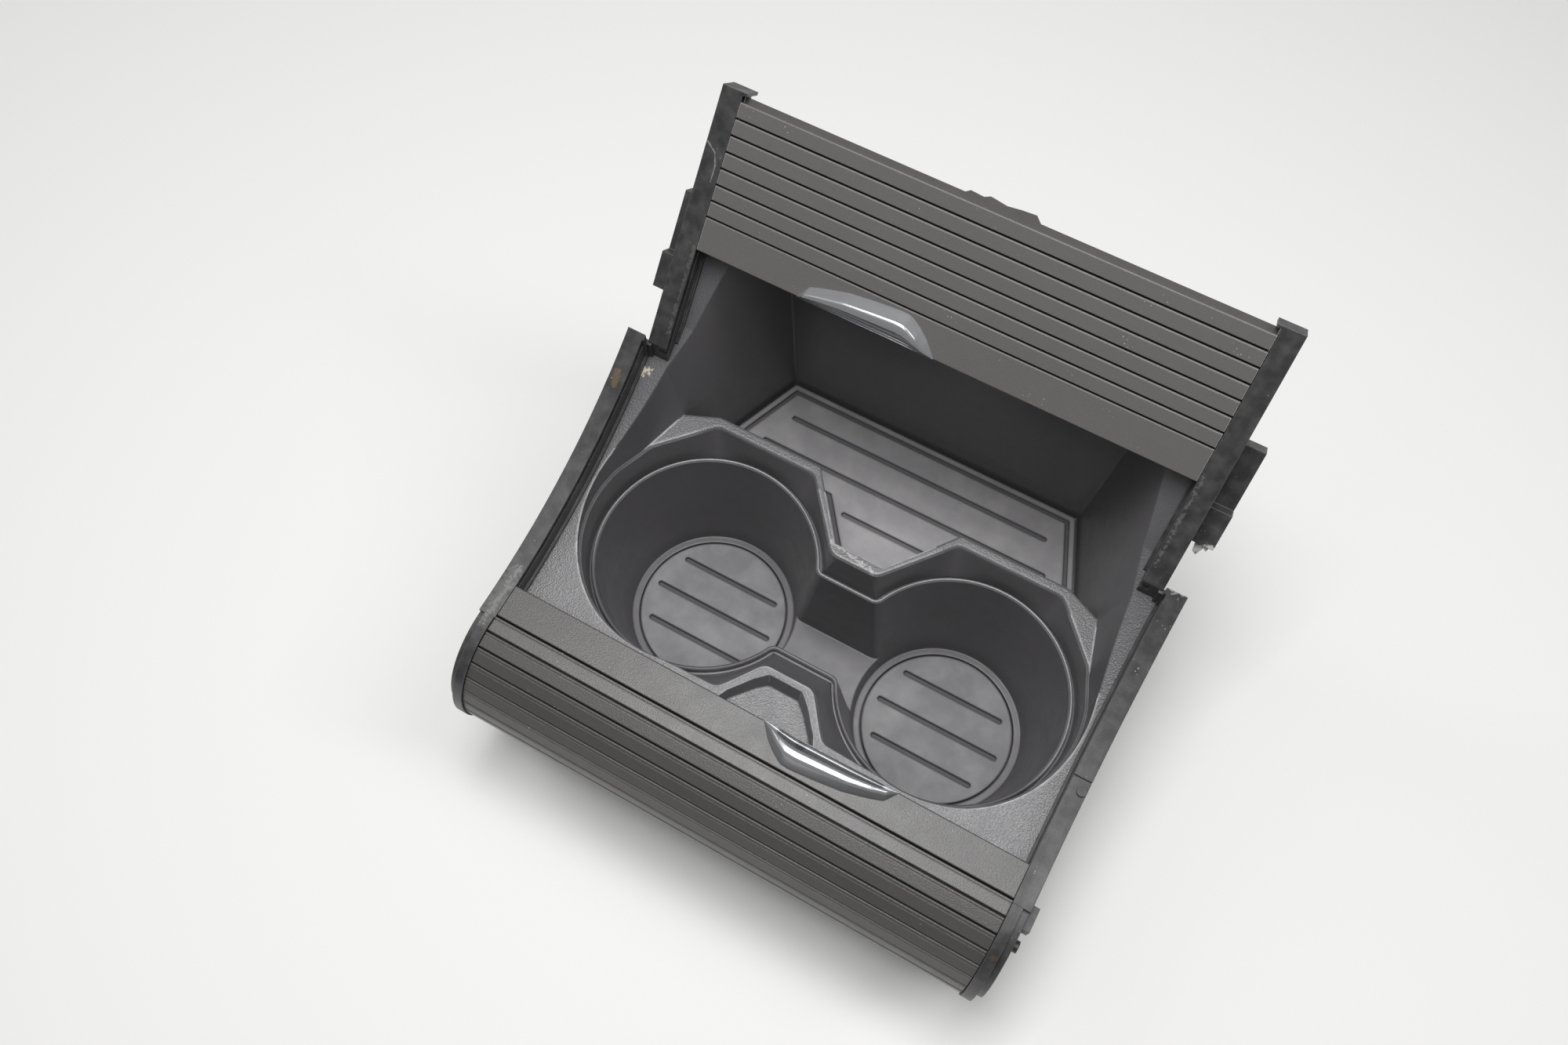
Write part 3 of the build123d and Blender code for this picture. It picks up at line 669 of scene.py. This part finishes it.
# The end of that film behind the rear shutter, torn and greyed: a dull brownish grey.
TORN_FILM = replace(BACKING_FILM, name="polyester_film_torn", colour="#5d5b5a", tint="#696766")

# Satin grey metal-flake paint on the handles: soft bright reflections.
SATIN_TRIM = Finish(
    name="metal_flake_paint_satin",
    colour="#a2a3a5",
    tint="#a8a9ab",
    tint_mm=10.0,
    tint_share=0.3,
    roughness=0.2,
    roughness_swing=0.01,
    grain_mm=0.25,
    grain_depth_mm=0.0003,
    edge_mm=0.0,
    dust=0.0,
    metallic=0.45,
    specular=0.6,
    scuffs_and_shading=(
        # Painted shade in the hollow of the front handle.
        ScuffAndShading((8.0, -46.6, 80.2), (15.0, -47.4, 80.3), 2.2, "#3f4042", 0.75, 0.0),
        ScuffAndShading((15.0, -47.4, 80.3), (42.0, -46.3, 80.2), 2.2, "#3f4042", 0.75, 0.0),
    ),
)

FINISHES = {
    Slot.TRAY: GRAINED_MOULDING,
    Slot.CUPS: SATIN_MOULDING,
    Slot.MATS: RUBBER_MAT,
    Slot.RAILS: SCUFFED_RAIL,
    Slot.SLATS: SOFT_TOUCH_PAINT,
    Slot.FILM: BACKING_FILM,
    Slot.TRIM: SATIN_TRIM,
}
NODE_FINISHES = {
    "bin_mat": DUSTY_LIT_MAT,
    "rear_slat": REAR_LIT_PAINT,
    "rear_lead_slat": REAR_LIT_PAINT,
    "rear_backing_film": TORN_FILM,
}


@dataclass
class Dresser:
    """Gives every solid of the frame, and every new piece, the finish of its slot.

    Args:
        materials: The material of each finish.
    """

    materials: dict[Finish, bpy.types.Material] = field(default_factory=dict)

    def build(self) -> None:
        """Make one material for each finish."""
        finishes = dict.fromkeys((*FINISHES.values(), *NODE_FINISHES.values()))
        self.materials = {finish: finish.make() for finish in finishes}

    def dress_solids(self) -> None:
        """Put the materials on the solids of the frame: the slot's, unless the solid's name has its own."""
        for row in frame["record"]["subparts"]:
            solid = frame["nodes"][row["node"]]
            finish = self.finish_of(row["node"], Slot(row["material_slot"]))
            for slot in solid.material_slots:
                slot.material = self.materials[finish]
            log.info("dressed %s with %s", row["node"], finish.name)

    def finish_of(self, name: str, slot: Slot) -> Finish:
        """Find the finish of a solid or piece: the one for its name, or else its slot's own."""
        named = [finish for start, finish in NODE_FINISHES.items() if name.startswith(start)]
        return named[0] if named else FINISHES[slot]

    def dress(self, piece: bpy.types.Object, slot: Slot) -> None:
        """Put the material on a new piece.

        Args:
            piece: The piece.
            slot: Its material slot.
        """
        piece.data.materials.append(self.materials[self.finish_of(piece.name, slot)])
        log.info("built %s of %s", piece.name, slot.value)


def tube_mesh(name: str, rings: np.ndarray) -> bpy.types.Object:
    """Close a run of like rings into a solid: quads between neighbours and one face at each end.

    Args:
        name: Name of the piece.
        rings: Points as rings by points by 3, in mm; each ring turns the same way.

    Returns:
        The linked object, with its faces outward.
    """
    count, around = rings.shape[:2]
    index = np.arange(count * around).reshape(count, around)
    turned = np.roll(index, -1, axis=1)
    quads = np.stack([index[:-1], turned[:-1], turned[1:], index[1:]], axis=-1).reshape(-1, 4)
    faces = quads.tolist() + [index[0, ::-1].tolist(), index[-1].tolist()]
    mesh = bpy.data.meshes.new(name)
    mesh.from_pydata(rings.reshape(-1, 3) * MM, [], faces)
    work = bmesh.new()
    work.from_mesh(mesh)
    bmesh.ops.recalc_face_normals(work, faces=work.faces)
    work.to_mesh(mesh)
    work.free()
    piece = bpy.data.objects.new(name, mesh)
    bpy.context.scene.collection.objects.link(piece)
    return piece


def rounded_corner() -> np.ndarray:
    """Quarter of a unit circle from a level top to a side, as (along, depth): (sin t - 1, 1 - cos t)."""
    turn = np.linspace(0, math.pi / 2, CORNER_STEPS)
    return np.stack([np.sin(turn) - 1, 1 - np.cos(turn)], axis=1)


def set_across(y: np.ndarray, z: np.ndarray, ends: tuple[float, float]) -> np.ndarray:
    """Set one outline at two places across the unit.

    Args:
        y: Y of its points.
        z: Z of its points.
        ends: X of each place.

    Returns:
        Two rings of points.
    """
    return np.stack([np.stack([np.full_like(y, x), y, z], axis=1) for x in ends])


@dataclass(frozen=True)
class FrontTrack:
    """The arc that the front shutter runs on, in mm, seen from the side.

    Args:
        centre_y: Y of the arc's centre.
        centre_z: Z of the arc's centre.
        radius: Radius of the arc at the slats' top.
    """

    centre_y: float = -58.0
    centre_z: float = 247.5
    radius: float = 168.0

    def lay(self, along: np.ndarray, depth: np.ndarray) -> tuple[np.ndarray, np.ndarray]:
        """Lay points on the track.

        Args:
            along: Arc lengths from the lowest point.
            depth: Depths below the slats' top.

        Returns:
            Y and Z: the centre plus the radius at that depth turned by the arc's angle.
        """
        angle = along / self.radius
        reach = self.radius + depth
        return self.centre_y + reach * np.sin(angle), self.centre_z - reach * np.cos(angle)

    def carry(self, loop: np.ndarray, half_width: float) -> np.ndarray:
        """Carry a section across the unit.

        Args:
            loop: Points of the section as (along, depth).
            half_width: Distance from the middle to each end.

        Returns:
            Two rings of points: the section laid on the track, at each end.
        """
        y, z = self.lay(loop[:, 0], loop[:, 1])
        return set_across(y, z, (half_width, -half_width))


@dataclass(frozen=True)
class RearTrack:
    """The straight slope that the rear shutter runs on, in mm, seen from the side.

    Args:
        start_y: Y of its lower end.
        start_z: Z of its lower end.
        slope: Its angle over the level.
    """

    start_y: float = 45.3
    start_z: float = 112.0
    slope: float = math.radians(50.0)

    def upward(self) -> Place:
        """Direction up the slope."""
        return (0.0, math.cos(self.slope), math.sin(self.slope))

    def lay(self, along: np.ndarray, depth: np.ndarray) -> tuple[np.ndarray, np.ndarray]:
        """Lay points on the track.

        Args:
            along: Lengths up the slope from its lower end.
            depth: Depths below the slats' top.

        Returns:
            Y and Z: the start, plus the length along the slope, less the depth along its normal.
        """
        _, level, rise = self.upward()
        return self.start_y + along * level + depth * rise, self.start_z + along * rise - depth * level


@dataclass
class DrawnCurtain:
    """The slats and the film that the front shutter draws out of the nose behind its lead slat.

    At rest they lie nested inside the lead slat.

    Args:
        track: Arc that they run on.
        count: Number of slats.
        pitch: Distance from one slat to the next, in mm like all that follow.
        gap: Width of the joint between two slats.
        first_joint: Arc length at which the slats and the film begin at rest.
        half_width: Distance from the middle to a slat's end.
        sink: Depth of a slat's top below that of the lead slat.
        thickness: Thickness of a slat.
        edge_radius: Radius of its two top edges.
        bead_width: Width of the bead beside its groove.
        groove_width: Width of the groove.
        groove_depth: Depth of the groove.
        film_top: Depth of the film's upper face.
        film_foot: Depth of its lower face.
        film_length: Length of the film at rest.
        film_steps: Points along the film.
        far: Distance in metres between the ends of a slat's blend; not used.
    """

    track: FrontTrack = field(default_factory=FrontTrack)
    count: int = 15
    pitch: float = 5.8
    gap: float = 0.4
    first_joint: float = 1.0
    half_width: float = 92.6
    sink: float = 0.3
    thickness: float = 2.3
    edge_radius: float = 0.3
    bead_width: float = 0.9
    groove_width: float = 0.4
    groove_depth: float = 0.5
    film_top: float = 3.05
    film_foot: float = 3.3
    film_length: float = 11.0
    film_steps: int = 60
    far: float = 1000.0

    def build(self, dresser: Dresser) -> None:
        """Make the slats and the film under them.

        Args:
            dresser: Gives them their finishes.
        """
        rings = self.track.carry(self.slat_loop(), self.half_width)
        for number in range(1, self.count + 1):
            slat = tube_mesh(f"front_drawn_slat_{number:02d}", rings)
            self.hang(slat, (number - 1) / self.count)
            dresser.dress(slat, Slot.SLATS)
        film = tube_mesh("front_drawn_film", self.track.carry(self.film_loop(), self.half_width))
        ends = np.array([self.first_joint, self.first_joint + self.film_length])
        start, end = np.stack([np.zeros(2), *self.track.lay(ends, np.zeros(2))], axis=1) * MM
        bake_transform(film)
        dresser.dress(film, Slot.FILM)

    def slat_loop(self) -> np.ndarray:
        """Section of a slat: a strip with its two top edges rounded and a groove that leaves a bead.

        Returns:
            Points as (along, depth), once round.
        """
        half = (self.pitch - self.gap) / 2
        corner = rounded_corner() * self.edge_radius + (half, 0)
        foot = np.array([[half, self.thickness], [-half, self.thickness]])
        bead = half - self.bead_width
        side, floor = bead - self.groove_width, self.groove_depth
        groove = np.array([[side, 0], [side, floor], [bead, floor], [bead, 0]])
        loop = np.concatenate([corner, foot, corner[::-1] * (-1, 1), groove])
        return loop + (self.first_joint + self.pitch / 2, self.sink)

    def film_loop(self) -> np.ndarray:
        """Section of the film: along its top and back along its foot.

        Returns:
            Points as (along, depth), once round.
        """
        along = np.linspace(self.first_joint, self.first_joint + self.film_length, self.film_steps)
        top = np.stack([along, np.full_like(along, self.film_top)], axis=1)
        foot = np.stack([along[::-1], np.full_like(along, self.film_foot)], axis=1)
        return np.concatenate([top, foot])

    def hang(self, piece: bpy.types.Object, share: float) -> None:
        """Bake the piece's place into its mesh.

        Args:
            piece: The slat.
            share: Its share of the travel, from 0 to 1; not used.
        """
        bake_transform(piece)


@dataclass
class RearCurtain:
    """The slats of the rear shutter, with the fine rounding of their edges at the joints between them.

    They lie on the sloping rear track, one pitch apart above the lead slat.

    Args:
        track: Slope that they run on.
        count: Number of slats.
        pitch: Distance from one slat to the next, in mm like all that follow.
        gap: Width of the joint between two slats.
        first_joint: Length up the slope at which the first slat's pitch begins.
        half_width: Distance from the middle to a slat's end.
        thickness: Thickness of a slat.
        taper: How far each side draws in towards the foot.
        low_radius: Radius of the lower one of its top edges.
        high_radius: Radius of the upper one.
    """

    track: RearTrack = field(default_factory=RearTrack)
    count: int = 7
    pitch: float = 5.28
    gap: float = 0.6
    first_joint: float = 42.7
    half_width: float = 84.95
    thickness: float = 3.0
    taper: float = 0.4
    low_radius: float = 0.25
    high_radius: float = 0.45

    def build(self, dresser: Dresser) -> None:
        """Make each slat in place of its solid.

        Args:
            dresser: Gives them their finish.
        """
        for number in range(1, self.count + 1):
            slat = tube_mesh(f"rear_slat_{number:02d}_moulded", self.rings((number - 0.5) * self.pitch))
            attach(slat, "rear_shutter")
            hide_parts(f"rear_slat_{number:02d}")
            dresser.dress(slat, Slot.SLATS)

    def rings(self, middle: float) -> np.ndarray:
        """Lay a slat's section on the slope, at both of its ends.

        Args:
            middle: Place of the slat's middle above the first joint.

        Returns:
            Two rings of points: a strip that tapers to its foot, with its two top edges rounded.
        """
        half = (self.pitch - self.gap) / 2
        corner = rounded_corner()
        high = corner * self.high_radius + (half, 0)
        low = (corner * self.low_radius + (half, 0))[::-1] * (-1, 1)
        foot = np.array([[half - self.taper, self.thickness], [self.taper - half, self.thickness]])
        along, depth = np.concatenate([high, foot, low]).T
        y, z = self.track.lay(along + self.first_joint + middle, depth)
        return set_across(y, z, (self.half_width, -self.half_width))


@dataclass
class Handle:
    """A finger handle on a lead slat: a ridge with a level crest, hollow towards the slat's free edge.

    Args:
        node: Solid that it stands for.
        body: Body that it rides on.
        origin: Middle of the slat's free edge, in mm.
        across: Direction along the free edge.
        inward: Direction from the free edge into the slat.
        stations: Sections along it.
        smooth_levels: Levels of its subdivision.
        knots: Places along the free edge, in mm, at which the three rows below hold.
        foot: Distance of its foot from the free edge.
        crest: Distance of its crest from the free edge.
        height: Height of its crest.
        section: Points from foot to free edge: shares of the foot's and crest's distances and of the height.
    """

    node: str
    body: str
    origin: Place
    across: Place
    inward: Place
    stations: int = 45
    smooth_levels: int = 2
    knots: tuple[float, ...] = (1.0, 4.6, 8.0, 12.0, 15.5, 24.0, 33.0, 41.0, 45.7, 48.4)
    foot: tuple[float, ...] = (0.4, 4.7, 7.6, 10.0, 10.2, 9.4, 8.3, 6.2, 4.6, 0.6)
    crest: tuple[float, ...] = (0.3, 2.4, 5.0, 7.1, 7.3, 6.7, 6.0, 4.4, 2.9, 0.5)
    height: tuple[float, ...] = (0.3, 3.0, 4.6, 5.0, 5.0, 5.0, 5.0, 4.8, 3.9, 0.3)
    section: tuple[Place, ...] = (
        (1.0, 0.0, -0.08),
        (1.0, 0.0, 0.02),
        (0.72, 0.28, 0.34),
        (0.38, 0.62, 0.66),
        (0.16, 0.84, 0.86),
        (0.10, 0.90, 0.905),
        (0.0, 0.955, 0.975),
        (0.0, 0.90, 1.0),
        (0.0, 0.75, 1.0),
        (0.0, 0.61, 0.985),
        (0.0, 0.54, 0.84),
        (0.0, 0.49, 0.56),
        (0.0, 0.42, 0.22),
        (0.0, 0.32, 0.07),
        (0.0, 0.20, 0.05),
        (0.0, 0.12, 0.08),
        (0.0, 0.09, 0.16),
        (0.0, 0.06, 0.20),
        (0.0, 0.03, 0.16),
        (0.0, 0.03, -0.08),
    )

    def build(self, dresser: Dresser) -> None:
        """Make the handle in place of its solid.

        Args:
            dresser: Gives it its finish.
        """
        piece = tube_mesh(f"{self.node}_moulded", self.rings())
        piece.data.polygons.foreach_set("use_smooth", np.ones(len(piece.data.polygons), dtype=bool))
        smooth = piece.modifiers.new("smooth", "SUBSURF")
        smooth.levels = self.smooth_levels
        smooth.render_levels = self.smooth_levels
        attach(piece, self.body)
        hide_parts(self.node)
        dresser.dress(piece, Slot.TRIM)

    def rings(self) -> np.ndarray:
        """Sections along the free edge.

        Returns:
            Points as stations by section by 3: each is the origin plus its place along the edge, its distance
            into the slat (a mix of foot and crest) and its height (a share of the crest's) along the normal.
        """
        sweep = (1 - np.cos(np.linspace(0, math.pi, self.stations))) / 2
        along = self.knots[0] + (self.knots[-1] - self.knots[0]) * sweep
        rows = (self.foot, self.crest, self.height)
        foot, crest, height = (np.interp(along, self.knots, row) for row in rows)
        to_foot, to_crest, rise = np.array(self.section).T
        distance = np.outer(foot, to_foot) + np.outer(crest, to_crest)
        lift = np.outer(height, rise)
        across, inward = np.array(self.across), np.array(self.inward)
        normal = np.cross(across, inward)
        normal *= np.sign(normal[2])
        spread = along[:, None, None] * across
        return np.array(self.origin) + spread + distance[..., None] * inward + lift[..., None] * normal


@dataclass
class RailFoot:
    """The lip at the foot of a rear rail that reaches over to the end of the front rail beside it.

    Args:
        side: 1 for the right rail and -1 for the left one.
        inner: Distance of its inner end from the middle, in mm.
        outer: Distance of its outer end from the middle.
        near: Y of its front.
        far: Y of its back.
        low: Z of its foot.
        high: Z of its top.
    """

    side: int
    inner: float = 90.8
    outer: float = 94.0
    near: float = 41.5
    far: float = 43.2
    low: float = 99.0
    high: float = 107.8

    def build(self, dresser: Dresser) -> None:
        """Make the lip as a block between the two rails.

        Args:
            dresser: Gives it its finish.
        """
        name = "rear_rail_foot_right" if self.side > 0 else "rear_rail_foot_left"
        y = np.array([self.near, self.far, self.far, self.near])
        z = np.array([self.low, self.low, self.high, self.high])
        lip = tube_mesh(name, set_across(y, z, (self.inner * self.side, self.outer * self.side)))
        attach(lip, "housing")
        dresser.dress(lip, Slot.RAILS)


# In mm: the arc length at which the front handle's plane touches the track, how far along that plane the
# front shutter's free edge lies, and how far up its slope the rear one's does.
FRONT_HANDLE_ARC = 7.0
FRONT_HANDLE_EDGE = 5.8
REAR_HANDLE_EDGE = 31.3


def shutter_handles() -> list[Handle]:
    """Lay out the two handles: the front one reaches to the right of the middle, the rear one to the left.

    Returns:
        The front handle and the rear one.
    """
    front_track, rear_track = FrontTrack(), RearTrack()
    tilt = FRONT_HANDLE_ARC / front_track.radius
    touch_y, touch_z = front_track.lay(np.array(FRONT_HANDLE_ARC), np.array(0.0))
    forth = (0.0, math.cos(tilt), math.sin(tilt))
    front_y = float(touch_y) + FRONT_HANDLE_EDGE * forth[1]
    front_z = float(touch_z) + FRONT_HANDLE_EDGE * forth[2]
    inward = (0.0, -forth[1], -forth[2])
    rear_y, rear_z = map(float, rear_track.lay(np.array(REAR_HANDLE_EDGE), np.array(0.0)))
    return [
        Handle("front_handle", "front_shutter", (0.0, front_y, front_z), (1.0, 0.0, 0.0), inward),
        Handle("rear_handle", "rear_shutter", (0.0, rear_y, rear_z), (-1.0, 0.0, 0.0), rear_track.upward()),
    ]


@dataclass(frozen=True)
class SoftBox:
    """A soft box that looks at the unit's middle.

    Args:
        name: Name of the light.
        place: Where it hangs, in metres.
        size: Width and length of its face, in metres.
        watts: Its power.
        target: Middle of the unit, in metres.
    """

    name: str
    place: Place
    size: tuple[float, float]
    watts: float
    target: Place = (0.0, 0.0, 0.08)

    def hang(self) -> None:
        """Make the light."""
        data = bpy.data.lights.new(self.name, "AREA")
        data.shape = "RECTANGLE"
        data.size, data.size_y = self.size
        data.energy = self.watts
        light = bpy.data.objects.new(self.name, data)
        light.location = self.place
        aim = Vector(self.target) - Vector(self.place)
        light.rotation_euler = aim.to_track_quat("-Z", "Y").to_euler()
        bpy.context.scene.collection.objects.link(light)
        log.info("hung %s at %s W", self.name, self.watts)


@dataclass
class Studio:
    """Pale floor, soft lights and the camera at the photograph's place.

    Args:
        floor_colour: sRGB hex colour of the table top.
        floor_size: Length of its sides, in metres.
        floor_roughness: Its roughness.
        surround_colour: sRGB hex colour of the surround.
        surround: Strength of the surround's light.
        soft_boxes: The lights over the table.
        camera_mm: Place of the camera.
        azimuth: Turn of the camera about the upright, in degrees.
        elevation: Its height over the level, in degrees.
        focal_px: Focal length in pixels of the photograph.
        frame_px: Width of the photograph in pixels.
        sensor_mm: Width of the sensor.
        clip_start: Nearest distance that the camera sees, in metres.
    """

    floor_colour: str = "#f6f6f4"
    floor_size: float = 3.0
    floor_roughness: float = 0.7
    surround_colour: str = "#f4f5f7"
    surround: float = 0.12
    soft_boxes: tuple[SoftBox, ...] = (
        SoftBox("key", (-0.12, 0.05, 1.2), (0.6, 0.35), 7.8),
        SoftBox("left", (-0.86, 0.09, 0.9), (0.2, 0.6), 1.25),
        SoftBox("right", (0.45, 0.18, 0.9), (0.2, 0.6), 2.2),
        SoftBox("front_left", (-0.45, -0.3, 0.95), (0.6, 0.2), 0.6),
        SoftBox("front", (0.1, -0.25, 1.0), (0.3, 0.3), 1.4),
    )
    camera_mm: Place = (56.41, -132.84, 470.39)
    azimuth: float = 28.893
    elevation: float = 66.286
    focal_px: float = 1612.83
    frame_px: float = 2000.0
    sensor_mm: float = 36.0
    clip_start: float = 0.01

    def build(self) -> None:
        """Make the whole set."""
        self.build_floor()
        self.build_lights()
        self.build_camera()

    def build_floor(self) -> None:
        """Lay a plain pale table top under the unit."""
        half = self.floor_size / 2
        grid = np.array([(-half, -half, 0), (half, -half, 0), (half, half, 0), (-half, half, 0)])
        mesh = bpy.data.meshes.new("floor")
        mesh.from_pydata(grid, [], [(0, 1, 2, 3)])
        floor = bpy.data.objects.new("floor", mesh)
        bpy.context.scene.collection.objects.link(floor)
        # Lacquered board: white, with a very soft sheen.
        material = bpy.data.materials.new("board_lacquered_white")
        material.use_nodes = True
        shader = material.node_tree.nodes["Principled BSDF"]
        shader.inputs["Base Color"].default_value = linear(self.floor_colour)
        shader.inputs["Roughness"].default_value = self.floor_roughness
        floor.data.materials.append(material)
        log.info("laid %s", floor.name)

    def build_lights(self) -> None:
        """Hang soft boxes over the table and set an even surround."""
        world = bpy.data.worlds.new("studio")
        world.use_nodes = True
        background = world.node_tree.nodes["Background"]
        background.inputs["Color"].default_value = linear(self.surround_colour)
        background.inputs["Strength"].default_value = self.surround
        bpy.context.scene.world = world
        for soft_box in self.soft_boxes:
            soft_box.hang()

    def build_camera(self) -> None:
        """Place the camera as solved from the cup rims and the shutters' corners."""
        turn, tilt = math.radians(self.azimuth), math.radians(self.elevation)
        back = Vector((math.sin(turn) * math.cos(tilt), -math.cos(turn) * math.cos(tilt), math.sin(tilt)))
        right = Vector((math.cos(turn), math.sin(turn), 0))
        up = back.cross(right)
        data = bpy.data.cameras.new("camera")
        data.sensor_width = self.sensor_mm
        data.lens = self.focal_px / self.frame_px * self.sensor_mm
        data.clip_start = self.clip_start
        camera = bpy.data.objects.new("camera", data)
        axes = Matrix((right, up, back)).transposed().to_4x4()
        camera.matrix_world = Matrix.Translation(Vector(self.camera_mm) * MM) @ axes
        bpy.context.scene.collection.objects.link(camera)
        bpy.context.scene.camera = camera
        log.info("placed %s", camera.name)


def main() -> None:
    """Dress the unit, add the curtains, the handles and the rails' feet, and set the studio."""
    logging.basicConfig(level=logging.INFO, format="%(message)s")
    dresser = Dresser()
    dresser.build()
    dresser.dress_solids()
    DrawnCurtain().build(dresser)
    RearCurtain().build(dresser)
    for handle in shutter_handles():
        handle.build(dresser)
    for side in (1, -1):
        RailFoot(side).build(dresser)
    Studio().build()
    bpy.context.scene.view_settings.view_transform = "Standard"


if __name__ == "__main__":
    main()
